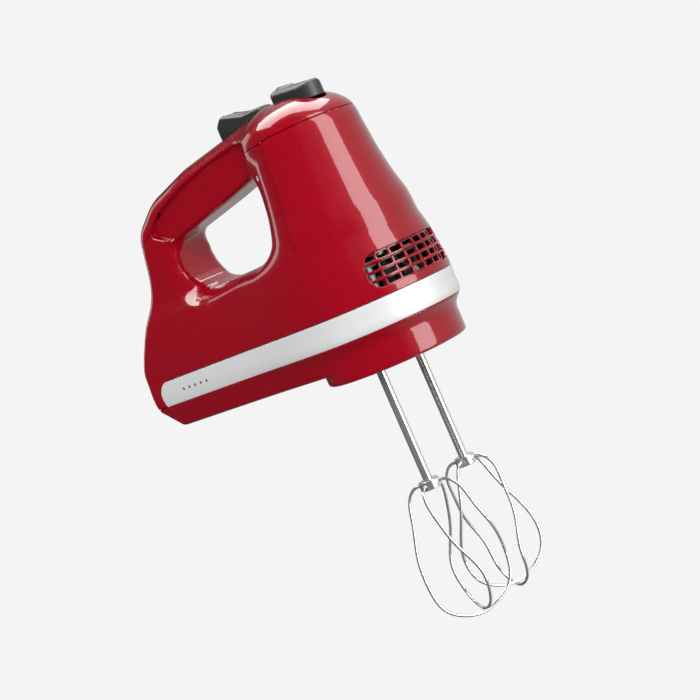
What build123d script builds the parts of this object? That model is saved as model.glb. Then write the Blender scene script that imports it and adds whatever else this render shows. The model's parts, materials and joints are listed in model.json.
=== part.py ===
# Hand mixer: moulded body with a loop handle, a universal motor driving two wire beaters
# through one worm, a thumb speed slide and a beater ejector.
# Millimetres.  +X to the nose, +Y to the user's left, +Z up to the handle.
# Origin: centre of the flat heel face that the mixer stands on when it is parked.

from build123d import *
from math import atan2, cos, pi, radians, sin
import os

os.makedirs("parts", exist_ok=True)

# ---------------------------------------------------------------- driving dimensions
WALL = 2.4
AXIS_X = 160.0            # plane of the two beater axes
SPACING = 32.4            # between the two beater axes
SPIN_Y = SPACING / 2
MOTOR_Z = 8.0             # height of the armature shaft
UNDERSIDE = -24.0
BOSS_BOTTOM = -30.0
BOSS_R = 38.0
BAND_LOW = -10.5
BAND_HIGH = 3.5
BAND_T = 1.2
BAND_REAR = 10.0
FLOOR_Z = 40.0            # floor of the finger opening
GAP = 0.3                 # running gap between moving and fixed mouldings

# height, nose radius, half width under the handle, half width at the heel
PLAN = [
    (-24.0, 36.0, 27.0, 18.0),
    (-14.0, 39.3, 31.0, 22.0),
    (-10.5, 42.4, 33.0, 23.5),
    (5.6, 43.6, 34.0, 24.0),
    (26.0, 41.0, 30.0, 22.0),
    (36.0, 39.3, 26.5, 20.5),
    (46.5, 35.7, 22.5, 19.0),
    (59.0, 32.0, 19.0, 17.5),
    (72.0, 29.8, 17.0, 16.5),
    (87.0, 27.0, 16.0, 15.5),
    (98.6, 25.5, 16.0, 15.5),
    (105.0, 23.0, 16.0, 15.5),
    (110.0, 19.5, 15.0, 15.0),
    (115.5, 10.0, 10.0, 10.0),
]
SLOPE = atan2(115.0 - 106.1, 150.0 - 80.0)        # handle top under the speed slide

# side outline from the heel's lower corner round to the nose: (x, z) and corner radius
SIDE = [
    ((9, UNDERSIDE), 2),
    ((0, -12), 3),
    ((0, 12), 12),
    ((11, 32), 20),
    ((24.5, 56), 30),
    ((28, 87), 10),
    ((46, 98.6), 22),
    ((80, 106.1), 60),
    ((150, 115), 0),
    ((178, 115), 0),
    ((215, 108), 0),
    ((215, UNDERSIDE), 0),
]
OPENING = [((47, FLOOR_Z), 13), ((138, FLOOR_Z), 24), ((138, 85), 14), ((56, 72.5), 12)]


def save(part, name):
    """Label one finished piece and write it as its own STEP file."""
    part.label = name
    export_step(part, f"parts/{name}.step")


# ---------------------------------------------------------------- outer form
def plan_form(inset):
    """Plan outlines stacked by height: a round nose that tapers back to the heel."""
    with BuildPart() as form:
        for height, nose, waist, heel in PLAN:
            with BuildSketch(Plane.XY.offset(height)):
                with BuildLine():
                    r = nose - inset
                    side = Spline(
                        (-6, heel - inset), (90, waist - inset), (AXIS_X, r), tangents=((1, 0.05), (1, 0))
                    )
                    ThreePointArc(side @ 1, (AXIS_X + r * cos(pi / 4), r * sin(pi / 4)), (AXIS_X + r, 0))
                    Line((-6, 0), side @ 0)
                    mirror(about=Plane.XZ)
                make_face()
        loft(ruled=True)
    return form.part


def rounded_polygon(corners):
    """Closed outline through the corner points, each rounded by its own radius."""
    with BuildSketch(mode=Mode.PRIVATE) as outline:
        Polygon(*[point for point, radius in corners], align=None)
        for point, radius in corners:
            if radius:
                fillet(outline.vertices().sort_by_distance(Vector(*point))[0], radius)
    return outline.sketch


def side_form(inset):
    """Side outline with the finger opening, across the whole width."""
    with BuildPart() as form:
        with BuildSketch(Plane.XZ):
            add(rounded_polygon(SIDE))
            if inset:
                offset(amount=-inset, kind=Kind.INTERSECTION)
            with BuildSketch(mode=Mode.PRIVATE) as opening:
                add(rounded_polygon(OPENING))
                if inset:
                    offset(amount=inset)
            add(opening.sketch, mode=Mode.SUBTRACT)
        extrude(amount=60, both=True)
    return form.part


def block(x0, x1, y0, y1, z0, z1):
    """Plain private block between two corners, for cutting and joining."""
    return Pos((x0 + x1) / 2, (y0 + y1) / 2, (z0 + z1) / 2) * Box(x1 - x0, y1 - y0, z1 - z0)


def cylinder_z(x, y, radius, z0, z1):
    """Upright private cylinder."""
    return Pos(x, y, (z0 + z1) / 2) * Cylinder(radius, z1 - z0)


def parting_slab(lift, up):
    """Everything above (or below) the line where the handle cover meets the housing."""
    with BuildPart() as slab:
        with BuildSketch(Plane.XZ):
            with BuildLine():
                line = Spline((-20, 69 + lift), (80, 88.5 + lift), (138, 97.5 + lift), (220, 105 + lift))
                edge = 200 if up else -200
                Polyline(line @ 1, (220, edge), (-20, edge), line @ 0)
            make_face()
        extrude(amount=80, both=True)
    return slab.part


# ---------------------------------------------------------------- mouldings
SEAM = 0.1                # half the shut line between two mouldings
POSTS = [(15, 12.5), (15, -12.5), (118, 25.0), (118, -25.0)]
POST_R = 4.0
SCREW_R = 1.5
SLOT_LOW, SLOT_PITCH, SLOT_H = 8.4, 4.3, 2.9
SLOT_COUNT = 4
VENT_REAR = 190.0
GRILLE_T = 1.6

outer_form = plan_form(0) & side_form(0)
inner_form = plan_form(WALL) & side_form(WALL)
shell = outer_form - inner_form
lower_zone = block(-20, 240, -80, 80, -60, BAND_LOW - SEAM)
middle_zone = block(-20, 240, -80, 80, BAND_LOW + SEAM, 200) & parting_slab(-SEAM, up=False)
band_ring = outer_form - plan_form(BAND_T)
main_shell = shell & middle_zone
cover_shell = shell & parting_slab(SEAM, up=True)
band_recess = band_ring & block(BAND_REAR, 240, -80, 80, BAND_LOW, BAND_HIGH)
post_cylinders = [cylinder_z(x, y, POST_R, BAND_LOW + SEAM, 60) & outer_form for x, y in POSTS]

with BuildPart() as main_housing:
    add(main_shell)
    add(post_cylinders)                                  # screw posts that the base is held by
    for x, y in POSTS:
        with Locations((x, y, 0)):
            Cylinder(SCREW_R - 0.2, 24, mode=Mode.SUBTRACT)
    add(band_recess, mode=Mode.SUBTRACT)
    for index in range(SLOT_COUNT):                      # air slots round the nose
        with Locations((VENT_REAR + 40, 0, SLOT_LOW + SLOT_H / 2 + index * SLOT_PITCH)):
            Box(80, 120, SLOT_H, mode=Mode.SUBTRACT)
save(main_housing.part, "main_housing")

EJECT_X0, EJECT_X1, EJECT_HALF = 154.5, 184.0, 9.0
EJECT_TOP = 122.0
EJECT_FOOT = 108.5        # clears the housing when the button is pressed home
ROD_TOP = 112.0
SLIDE_MID, SLIDE_LONG, SLIDE_WIDE = 129.0, 30.0, 17.0
SLIDE_TRAVEL = 9.0
STEM_LONG, STEM_WIDE = 7.0, 4.0


def ejector_outline(grow):
    """Oblong plan of the ejector button: flat at the back, round at the front."""
    half = EJECT_HALF + grow
    with BuildSketch(mode=Mode.PRIVATE) as outline:
        with BuildLine():
            Polyline((EJECT_X1 - EJECT_HALF, half), (EJECT_X0 - grow, half), (EJECT_X0 - grow, -half),
                     (EJECT_X1 - EJECT_HALF, -half))
            centre_x = EJECT_X1 - EJECT_HALF
            ThreePointArc((centre_x, -half), (EJECT_X1 + grow, 0), (centre_x, half))
        make_face()
    return outline.sketch


# plane on the crown of the handle, along the speed slide's way
slide_crown = 106.1 + (SLIDE_MID - 80) * (115 - 106.1) / 70
slide_plane = Plane(
    origin=(SLIDE_MID, 0, slide_crown), x_dir=(cos(SLOPE), 0, sin(SLOPE)), z_dir=(-sin(SLOPE), 0, cos(SLOPE))
)

with BuildPart() as top_cover:
    add(cover_shell)
    with BuildSketch(Plane.XY.offset(90)):
        add(ejector_outline(GAP))
    extrude(amount=40, mode=Mode.SUBTRACT)
    with BuildSketch(slide_plane):
        with Locations((SLIDE_TRAVEL / 2, 0)):
            Rectangle(STEM_LONG + SLIDE_TRAVEL + 2, STEM_WIDE + 1)
    extrude(amount=8, both=True, mode=Mode.SUBTRACT)
save(top_cover.part, "top_cover")

GLAND_X, GLAND_R = 34.0, 8.5
SLEEVE_R = 4.5
BUSH_R = 6.5
HEAD_R, HEAD_DEEP = 3.0, 2.4
boss_bore = cylinder_z(AXIS_X, 0, BOSS_R - WALL, BOSS_BOTTOM + WALL, -13)
boss_wall = cylinder_z(AXIS_X, 0, BOSS_R, BOSS_BOTTOM, -13.5) - boss_bore
base_shell = (shell & lower_zone) - cylinder_z(AXIS_X, 0, BOSS_R - WALL, -30, -13)

with BuildPart() as base_housing:
    add(base_shell)
    add(boss_wall)
    fillet(base_housing.faces().sort_by(Axis.Z)[0].outer_wire().edges(), 2)
    for side in (-1, 1):                                 # seats of the two spindle bushes
        with Locations((AXIS_X, side * SPIN_Y, BOSS_BOTTOM + 7)):
            Cylinder(BUSH_R + 2, 14)
            Cylinder(SLEEVE_R + 1, 20, mode=Mode.SUBTRACT)
        with Locations((AXIS_X, side * SPIN_Y, BOSS_BOTTOM + 10)):
            Cylinder(BUSH_R, 12, mode=Mode.SUBTRACT)
    for x, y in POSTS:                                   # screw towers
        with Locations((x, y, (UNDERSIDE + BAND_LOW - 0.1) / 2)):
            Cylinder(POST_R, BAND_LOW - 0.1 - UNDERSIDE)
            Cylinder(SCREW_R + 0.2, 30, mode=Mode.SUBTRACT)
        with Locations((x, y, UNDERSIDE + HEAD_DEEP / 2)):
            Cylinder(HEAD_R, HEAD_DEEP, mode=Mode.SUBTRACT)
    with Locations((GLAND_X, 0, UNDERSIDE)):
        Cylinder(GLAND_R, 12, mode=Mode.SUBTRACT)
save(base_housing.part, "base_housing")

trim_band_form = band_ring & block(BAND_REAR + 0.1, 240, -80, 80, BAND_LOW + 0.1, BAND_HIGH - 0.1)
with BuildPart() as trim_band:
    add(trim_band_form)
save(trim_band.part, "trim_band")

# black ribbed insert close behind the air slots
grille_low, grille_high = SLOT_LOW - 1.2, SLOT_LOW + SLOT_PITCH * SLOT_COUNT
grille_ring = plan_form(WALL) - plan_form(WALL + GRILLE_T)
grille_strip = grille_ring & block(VENT_REAR - 4, 240, -80, 80, grille_low, grille_high)

with BuildPart() as vent_grille:
    add(grille_strip)
    with Locations((AXIS_X, 0, (grille_low + grille_high) / 2)):
        with PolarLocations(30, 15, start_angle=-84, angular_range=168):
            Box(40, 2.2, grille_high - grille_low - 3, mode=Mode.SUBTRACT)
save(vent_grille.part, "vent_grille")

with BuildPart() as base_screws:
    for x, y in POSTS:
        with Locations((x, y, UNDERSIDE + 0.4 + HEAD_DEEP / 2 - 0.2)):
            Cylinder(HEAD_R - 0.3, HEAD_DEEP - 0.4)
        with Locations((x, y, UNDERSIDE + HEAD_DEEP + 8)):
            Cylinder(SCREW_R - 0.2, 16)
        with Locations((x, y, UNDERSIDE + 0.4)):
            Box(3.6, 0.7, 1.2, mode=Mode.SUBTRACT)
            Box(0.7, 3.6, 1.2, mode=Mode.SUBTRACT)
save(base_screws.part, "base_screws")

# ---------------------------------------------------------------- motor
CORE_R, BORE_R = 12.0, 12.5
STACK_X0, STACK_X1 = 68.0, 88.0
SHAFT_R = 3.0
STATOR_Y, STATOR_Z = 24.5, 20.5
POLE_Y = 7.5
COIL_Z0, COIL_Z1 = 13.2, 16.0

with BuildPart() as stator_core:
    with BuildSketch(Plane.YZ.offset(STACK_X0)):
        with Locations((0, MOTOR_Z)):
            RectangleRounded(2 * STATOR_Y, 2 * STATOR_Z, 5)
            Rectangle(2 * STATOR_Y - 9, 2 * STATOR_Z - 9, mode=Mode.SUBTRACT)
            Rectangle(2 * POLE_Y, 2 * STATOR_Z - 8)
            Circle(BORE_R, mode=Mode.SUBTRACT)
    extrude(amount=STACK_X1 - STACK_X0)
save(stator_core.part, "stator_core")

for name, side in (("upper_field_coil", 1), ("lower_field_coil", -1)):
    with BuildPart() as coil:
        with Locations(((STACK_X0 + STACK_X1) / 2, 0, MOTOR_Z + side * (COIL_Z0 + COIL_Z1) / 2)):
            Box(STACK_X1 - STACK_X0 + 11, 26, COIL_Z1 - COIL_Z0)
            Box(STACK_X1 - STACK_X0 + 1, 2 * POLE_Y + 0.6, COIL_Z1 - COIL_Z0, mode=Mode.SUBTRACT)
        fillet(coil.edges().filter_by(Axis.Z).group_by(Axis.X)[0], 3)
        fillet(coil.edges().filter_by(Axis.Z).group_by(Axis.X)[-1], 3)
    save(coil.part, name)


def bearing(x0, x1, shaft_radius, radius):
    """Plain bronze bush on the motor's axis."""
    with BuildPart() as bush:
        with BuildSketch(Plane.YZ.offset(x0)):
            with Locations((0, MOTOR_Z)):
                Circle(radius)
                Circle(shaft_radius + 0.04, mode=Mode.SUBTRACT)
        extrude(amount=x1 - x0)
        chamfer(bush.edges().filter_by(GeomType.CIRCLE).sort_by(SortBy.RADIUS)[-2:], 0.5)
    return bush.part


REAR_X, FRONT_X, TIP_X = 36.0, 102.0, 177.0
TIP_SHAFT_R = 2.5
save(bearing(REAR_X - 0.5, REAR_X + 4.5, SHAFT_R, 6), "rear_bearing")
save(bearing(FRONT_X - 0.5, FRONT_X + 4.5, SHAFT_R, 6), "front_bearing")
save(bearing(TIP_X, TIP_X + 4, TIP_SHAFT_R, 5), "nose_bearing")


def bracket(plate_x, post_x0, post_x1):
    """Motor end frame: a plate round the bearing with four posts to the stator."""
    with BuildPart() as frame:
        with BuildSketch(Plane.YZ.offset(plate_x)):
            with Locations((0, MOTOR_Z)):
                RectangleRounded(36, 34, 6)
                Circle(6, mode=Mode.SUBTRACT)
                with GridLocations(24, 22, 2, 2):
                    Circle(2.5, mode=Mode.SUBTRACT)
        extrude(amount=4)
        with Locations(((post_x0 + post_x1) / 2, 0, MOTOR_Z)):
            for y in (-1, 1):
                for z in (-1, 1):
                    with Locations((0, y * 16.5, z * 15.5)):
                        Box(post_x1 - post_x0, 3, 3)
    return frame.part


save(bracket(REAR_X, REAR_X + 4, STACK_X0), "rear_bracket")
save(bracket(FRONT_X, STACK_X1, FRONT_X), "front_bracket")

# gear frame: die-cast deck over the wheels, on posts from the base, with the nose bearing's lug
DECK_Z0, DECK_Z1 = 18.5, 21.5
with BuildPart() as gear_frame:
    with BuildSketch(Plane.XY.offset(DECK_Z0)):
        with Locations((AXIS_X, 0)):
            RectangleRounded(42, 56, 8)
            with Locations((0, SPIN_Y), (0, -SPIN_Y)):
                Circle(BUSH_R, mode=Mode.SUBTRACT)
    extrude(amount=DECK_Z1 - DECK_Z0)
    with BuildSketch(Plane.XY.offset(BOSS_BOTTOM + WALL)):
        with Locations((AXIS_X - 20, 20), (AXIS_X - 20, -20), (AXIS_X + 19, 17), (AXIS_X + 19, -17)):
            Circle(3)
    extrude(amount=DECK_Z0 - BOSS_BOTTOM - WALL)
    with Locations((TIP_X + 2, 0, (DECK_Z0 + MOTOR_Z) / 2)):
        Box(4, 14, DECK_Z0 - MOTOR_Z)
    with Locations(Plane(origin=(TIP_X + 2, 0, MOTOR_Z), z_dir=(1, 0, 0))):
        Cylinder(7, 4)
        Cylinder(5, 10, mode=Mode.SUBTRACT)
save(gear_frame.part, "gear_frame")

for name, side in (("left", 1), ("right", -1)):
    lower_and_upper = (("lower", BOSS_BOTTOM + 4, BOSS_BOTTOM + 14), ("upper", DECK_Z0 - 2.5, DECK_Z1 + 0.5))
    for level, z0, z1 in lower_and_upper:
        with BuildPart() as bush:
            with BuildSketch(Plane.XY.offset(z0)):
                with Locations((AXIS_X, side * SPIN_Y)):
                    Circle(BUSH_R)
                    Circle(SLEEVE_R + 0.04, mode=Mode.SUBTRACT)
            extrude(amount=z1 - z0)
        save(bush.part, f"{name}_{level}_bush")

# brushes on the commutator
BRUSH_X, COMM_R = 54.0, 9.0
for name, side in (("left", 1), ("right", -1)):
    with BuildPart() as holder:
        with Locations((BRUSH_X, side * 17.6, MOTOR_Z)):
            Box(8, 13.2, 8)
            Box(5.2, 30, 5.2, mode=Mode.SUBTRACT)
        with Locations((BRUSH_X, side * 23.7, MOTOR_Z)):
            Box(8, 1, 8)
        with Locations((BRUSH_X - 9, side * 17, MOTOR_Z)):
            Box(10, 3, 4)
        with Locations((BRUSH_X - 13, side * 16, MOTOR_Z)):
            Box(2, 5, 8)
    save(holder.part, f"{name}_brush_holder")
    with BuildPart() as brush:
        with Locations((BRUSH_X, side * (COMM_R + 0.05 + 5.5), MOTOR_Z)):
            Box(5, 11, 5)
    save(brush.part, f"{name}_carbon_brush")
    with BuildPart() as spring:
        for turn in range(4):
            with Locations(Plane(origin=(BRUSH_X, side * (20.45 + 0.8 * turn), MOTOR_Z), z_dir=(0, 1, 0))):
                Torus(1.8, 0.3)
    save(spring.part, f"{name}_brush_spring")

# ---------------------------------------------------------------- rotor
WORM_PITCH_R, WORM_ROOT_R, LEAD = 4.2, 3.3, pi
WORM_X0 = AXIS_X - 11 - LEAD / 4          # puts a thread crest square to the left wheel's hollow
WORM_X1 = AXIS_X + 11
WHEEL_TEETH = 24
with BuildPart() as armature_shaft:
    for x0, x1, radius in ((REAR_X - 3, WORM_X0 - 1, SHAFT_R), (WORM_X0 - 1, WORM_X1 + 1, WORM_ROOT_R),
                           (WORM_X1 + 1, 194, TIP_SHAFT_R)):
        with BuildSketch(Plane.YZ.offset(x0)):
            with Locations((0, MOTOR_Z)):
                Circle(radius)
        extrude(amount=x1 - x0)
    with BuildLine():
        thread_line = Helix(
            pitch=LEAD, height=WORM_X1 - WORM_X0, radius=WORM_PITCH_R,
            center=(WORM_X0, 0, MOTOR_Z), direction=(1, 0, 0),
        )
    with BuildSketch(Plane(thread_line @ 0, x_dir=(0, 0, 1), z_dir=thread_line % 0)):
        with Locations((-0.15, 0)):
            Rectangle(1.7, 0.9)
    sweep(path=thread_line, is_frenet=True)
save(armature_shaft.part, "armature_shaft")

with BuildPart() as armature_core:
    with BuildSketch(Plane.YZ.offset(STACK_X0)):
        with Locations((0, MOTOR_Z)):
            Circle(CORE_R)
            Circle(SHAFT_R, mode=Mode.SUBTRACT)
            with PolarLocations(CORE_R - 2.4, 12):
                SlotOverall(4.2, 2.2, mode=Mode.SUBTRACT)
    extrude(amount=STACK_X1 - STACK_X0)
save(armature_core.part, "armature_core")

with BuildPart() as armature_windings:
    for x0, x1 in ((STACK_X0 - 6, STACK_X0), (STACK_X1, STACK_X1 + 6)):
        with BuildSketch(Plane.YZ.offset(x0)):
            with Locations((0, MOTOR_Z)):
                Circle(CORE_R - 1)
                Circle(SHAFT_R, mode=Mode.SUBTRACT)
        extrude(amount=x1 - x0)
    for end in (0, -1):
        rims = armature_windings.edges().group_by(Axis.X)[end].filter_by(GeomType.CIRCLE)
        fillet(rims.sort_by(SortBy.RADIUS)[-1], 2.5)
save(armature_windings.part, "armature_windings")

with BuildPart() as commutator:
    with BuildSketch(Plane.YZ.offset(BRUSH_X - 7)):
        with Locations((0, MOTOR_Z)):
            Circle(COMM_R)
            Circle(SHAFT_R, mode=Mode.SUBTRACT)
            with PolarLocations(COMM_R, 12):
                Rectangle(1.2, 0.5, mode=Mode.SUBTRACT)
    extrude(amount=14)
save(commutator.part, "commutator")

FAN_X0, FAN_R, FAN_BLADES = 183.5, 15.0, 9
with BuildPart() as cooling_fan:
    with BuildSketch(Plane.YZ.offset(FAN_X0)):
        with Locations((0, MOTOR_Z)):
            Circle(FAN_R)
            Circle(TIP_SHAFT_R, mode=Mode.SUBTRACT)
    extrude(amount=1.4)
    with BuildSketch(Plane.YZ.offset(FAN_X0)):
        with Locations((0, MOTOR_Z)):
            Circle(5)
            Circle(TIP_SHAFT_R, mode=Mode.SUBTRACT)
            with PolarLocations(9.5, FAN_BLADES):
                Rectangle(10.4, 1.3, rotation=18)
    extrude(amount=7)
save(cooling_fan.part, "cooling_fan")

# ---------------------------------------------------------------- spindles and beaters
STEM_R, SOCKET_R = 2.4, 2.45
STEM_TOP, SLEEVE_TOP = 14.0, 24.0
PIN_TOP = 32.0
EJECT_TRAVEL = 6.0
WHEEL_R = 12.0
WHEEL_Z0, WHEEL_Z1 = MOTOR_Z - 4.5, MOTOR_Z + 4.5
HUB_TOP, HUB_H, HUB_R = -91.0, 5.0, 5.5
WIRE_R = 0.8
REACH = 22.4              # widest radius of a loop's wire
LOOP_BOTTOM = -164.5
CROSSING_GAP = 1.9        # the inner loop passes this far above the outer one


def worm_wheel(side):
    """Nylon wheel of straight teeth with a throat of play round the worm's thread."""
    first_tooth = 90 if side < 0 else -90 + 180 / WHEEL_TEETH
    with BuildPart() as wheel:
        with BuildSketch(Plane.XY.offset(WHEEL_Z0)):
            with Locations((AXIS_X, side * SPIN_Y)):
                Circle(WHEEL_R - 1.2)
                with PolarLocations(WHEEL_R - 0.4, WHEEL_TEETH, start_angle=first_tooth):
                    Trapezoid(1.5, 2.0, 80, rotation=-90)
                Circle(SLEEVE_R, mode=Mode.SUBTRACT)
        extrude(amount=WHEEL_Z1 - WHEEL_Z0)
        with BuildSketch(Plane.XY.offset(WHEEL_Z1 - 2)):
            with Locations((AXIS_X, side * SPIN_Y)):
                Circle(WHEEL_R - 3)
                Circle(SLEEVE_R + 2, mode=Mode.SUBTRACT)
        extrude(amount=2, mode=Mode.SUBTRACT)
    return wheel.part


def spindle(side):
    """Steel sleeve that carries the wheel and holds the beater's stem."""
    with BuildPart() as sleeve:
        with BuildSketch(Plane.XY.offset(BOSS_BOTTOM - 0.5)):
            with Locations((AXIS_X, side * SPIN_Y)):
                Circle(SLEEVE_R)
                Circle(SOCKET_R, mode=Mode.SUBTRACT)
        extrude(amount=SLEEVE_TOP - BOSS_BOTTOM + 0.5)
        chamfer(sleeve.edges().group_by(Axis.Z)[0].filter_by(GeomType.CIRCLE).sort_by(SortBy.RADIUS)[0], 0.6)
    return sleeve.part


def beater_loop(side, top_angle, twist, lift):
    """One bent wire: out from the hub, down with a slow twist, round the bottom and up again."""
    x, y = AXIS_X, side * SPIN_Y
    top = HUB_TOP - HUB_H / 2
    bottom = LOOP_BOTTOM + lift
    depth = top - bottom
    # share of the depth, radius, share of the twist
    half = [(0.0, HUB_R - 1.0, 0.0), (0.0, HUB_R + 3.5, 0.0), (0.045, 13.0, 0.03), (0.22, 16.6, 0.25),
            (0.45, 20.6, 0.62), (0.69, REACH, 1.0), (0.86, 19.3, 1.0), (0.965, 10.2, 1.0)]
    points = []
    for share, radius, turned in half:
        angle = radians(90 - top_angle - twist * turned)
        points.append(Vector(x + radius * cos(angle), y + radius * sin(angle), top - share * depth))
    mirrored = [Vector(2 * x - p.X, 2 * y - p.Y, p.Z) for p in reversed(points)]
    points += [Vector(x, y, bottom)] + mirrored
    with BuildPart() as wire:
        with BuildLine():
            path = Spline(*points)
        with BuildSketch(Plane(path @ 0, z_dir=path % 0)):
            Circle(WIRE_R)
        sweep(path=path)
    return wire.part


for name, side, top_angle, twist in (("left", 1, 257.0, 42.0), ("right", -1, 73.0, -42.0)):
    at = (AXIS_X, side * SPIN_Y)
    save(worm_wheel(side), f"{name}_worm_wheel")
    save(spindle(side), f"{name}_spindle")
    with BuildPart() as clip:
        with BuildSketch(Plane.XY.offset(SLEEVE_TOP - 1.7)):
            with Locations(at):
                Circle(SLEEVE_R + 1.4)
                Circle(SLEEVE_R, mode=Mode.SUBTRACT)
                with Locations((0, 5)):
                    Rectangle(3, 6, mode=Mode.SUBTRACT)
        extrude(amount=0.8)
    save(clip.part, f"{name}_retaining_clip")
    with BuildPart() as pin:
        with BuildSketch(Plane.XY.offset(STEM_TOP + GAP)):
            with Locations(at):
                Circle(STEM_R)
        extrude(amount=PIN_TOP - 1.5 - STEM_TOP - GAP)
        with BuildSketch(Plane.XY.offset(PIN_TOP - 1.5)):
            with Locations(at):
                Circle(3.6)
        extrude(amount=1.5)
        fillet(pin.edges().group_by(Axis.Z)[-1], 0.6)
    save(pin.part, f"{name}_eject_pin")
    with BuildPart() as stem:
        with BuildSketch(Plane.XY.offset(HUB_TOP - HUB_H + 0.5)):
            with Locations(at):
                Circle(STEM_R)
        extrude(amount=STEM_TOP - HUB_TOP + HUB_H - 0.5)
        chamfer(stem.edges().group_by(Axis.Z)[-1], 0.8)
    save(stem.part, f"{name}_beater_stem")
    with BuildPart() as hub:
        with BuildSketch(Plane.XY.offset(HUB_TOP - HUB_H)):
            with Locations(at):
                Circle(HUB_R)
        extrude(amount=HUB_H)
        fillet(hub.edges(), 0.8)
        with Locations((AXIS_X, side * SPIN_Y, HUB_TOP)):
            Cylinder(STEM_R, 20, mode=Mode.SUBTRACT)
    save(hub.part, f"{name}_beater_hub")
    save(beater_loop(side, top_angle, twist, 0), f"{name}_outer_loop")
    save(beater_loop(side, top_angle + 90, twist, CROSSING_GAP), f"{name}_inner_loop")

# ---------------------------------------------------------------- ejector
BRIDGE_Z = PIN_TOP + GAP
ROD_X = AXIS_X
with BuildPart() as eject_button:
    with BuildSketch(Plane.XY.offset(EJECT_FOOT)):
        add(ejector_outline(0))
    extrude(amount=EJECT_TOP - 1.2 - EJECT_FOOT)
    fillet(eject_button.edges().group_by(Axis.Z)[-1], 2)
    with Locations((168, 0, EJECT_TOP - 1.4)):
        Cylinder(6, 1.6)
    with Locations((ROD_X, 0, ROD_TOP - 4)):
        Box(8.1, 5.1, 8, mode=Mode.SUBTRACT)
save(eject_button.part, "eject_button")

with BuildPart() as eject_rod:
    with Locations((ROD_X, 0, (BRIDGE_Z + ROD_TOP) / 2)):
        Box(8, 5, ROD_TOP - BRIDGE_Z)
    with Locations((ROD_X, 0, BRIDGE_Z + 1.5)):
        Box(9, 2 * SPIN_Y + 9, 3)
    with Locations((ROD_X, 0, 96)):
        Cylinder(7.5, 1.6)
save(eject_rod.part, "eject_rod")

GUIDE_Z = 80.0
guide_zone = plan_form(WALL) & block(143, 200, -60, 60, GUIDE_Z, GUIDE_Z + 2.5)
with BuildPart() as rod_guide:
    add(guide_zone)
    with Locations((ROD_X, 0, GUIDE_Z)):
        Box(8 + 2 * GAP, 5 + 2 * GAP, 20, mode=Mode.SUBTRACT)
save(rod_guide.part, "rod_guide")

SPRING_Z0, SPRING_Z1, SPRING_TURNS = GUIDE_Z + 2.5, 95.2, 5
with BuildPart() as eject_spring:
    with BuildLine():
        coil_line = Helix(
            pitch=(SPRING_Z1 - SPRING_Z0 - 1.2) / SPRING_TURNS, height=SPRING_Z1 - SPRING_Z0 - 1.2,
            radius=6.2, center=(ROD_X, 0, SPRING_Z0 + 0.6),
        )
    with BuildSketch(Plane(coil_line @ 0, z_dir=coil_line % 0)):
        Circle(0.45)
    sweep(path=coil_line, is_frenet=True)
save(eject_spring.part, "eject_spring")

# ---------------------------------------------------------------- speed control
with BuildPart() as speed_slide:
    with BuildSketch(slide_plane.offset(GAP + 0.05)):
        RectangleRounded(SLIDE_LONG, SLIDE_WIDE, 5)
    extrude(amount=9)
    fillet(speed_slide.edges().group_by(Axis.Z)[-1], 2)
    with BuildSketch(slide_plane.offset(GAP + 0.05)):
        Rectangle(STEM_LONG, STEM_WIDE)
    extrude(amount=-6.5)
with BuildPart() as inset_form:
    with BuildSketch(slide_plane.offset(8.55)):
        Ellipse(8.5, 5.5)
    extrude(amount=1.4)
save(speed_slide.part - inset_form.part, "speed_slide")
save(inset_form.part, "slide_inset")

with BuildPart() as switch_rider:
    with BuildSketch(slide_plane.offset(-8.65)):
        Rectangle(16, 10)
    extrude(amount=2.5)
save(switch_rider.part, "switch_rider")

with BuildPart() as speed_switch:
    with BuildSketch(slide_plane.offset(-19)):
        with Locations((SLIDE_TRAVEL / 2, 0)):
            RectangleRounded(26, 18, 2)
    extrude(amount=10)
save(speed_switch.part, "speed_switch")

with BuildPart() as control_board:
    with BuildSketch(slide_plane.offset(-20.6)):
        with Locations((-12, 0)):
            Rectangle(60, 20)
    extrude(amount=1.6)
save(control_board.part, "control_board")

# ---------------------------------------------------------------- cord entry
with BuildPart() as cord_gland:
    with BuildSketch(Plane.XY.offset(UNDERSIDE)):
        with Locations((GLAND_X, 0)):
            Circle(GLAND_R - 0.05)
    extrude(amount=13)
    with BuildSketch(Plane.XY.offset(UNDERSIDE + WALL + GAP)):
        with Locations((GLAND_X, 0)):
            Circle(GLAND_R + 2)
    extrude(amount=2)
    with Locations((GLAND_X, 0, UNDERSIDE)):
        Cylinder(3.6, 60, mode=Mode.SUBTRACT)
    chamfer(cord_gland.edges().group_by(Axis.Z)[0].filter_by(GeomType.CIRCLE).sort_by(SortBy.RADIUS)[0], 0.8)
save(cord_gland.part, "cord_gland")

with BuildPart() as gland_retainer:
    with BuildSketch(Plane.XY.offset(UNDERSIDE + WALL)):
        with Locations((GLAND_X, 0)):
            Circle(GLAND_R + 4.5)
            Circle(GLAND_R + 2.5, mode=Mode.SUBTRACT)
    extrude(amount=5)
    with BuildSketch(Plane.XY.offset(UNDERSIDE + WALL + 5)):
        with Locations((GLAND_X, 0)):
            Circle(GLAND_R + 4.5)
            Circle(GLAND_R + 0.35, mode=Mode.SUBTRACT)
    extrude(amount=1.6)
save(gland_retainer.part, "gland_retainer")
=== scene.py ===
# %% [markdown]
# # A hand mixer around its working frame
# The working parts (motor, gears, beaters, switches) come from an engineering model, the frame.
# This lesson adds what the eye judges: the moulded skin with its soft corners and shut lines,
# the silver band, the air slots, the two thumb controls, and every finish.
# Work is in the frame's own axes: +X to the nose, +Y to the far side, +Z up to the handle.

# %% Load the frame
import json
import math
import bpy
import numpy as np
from mathutils import Matrix, Vector


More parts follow.
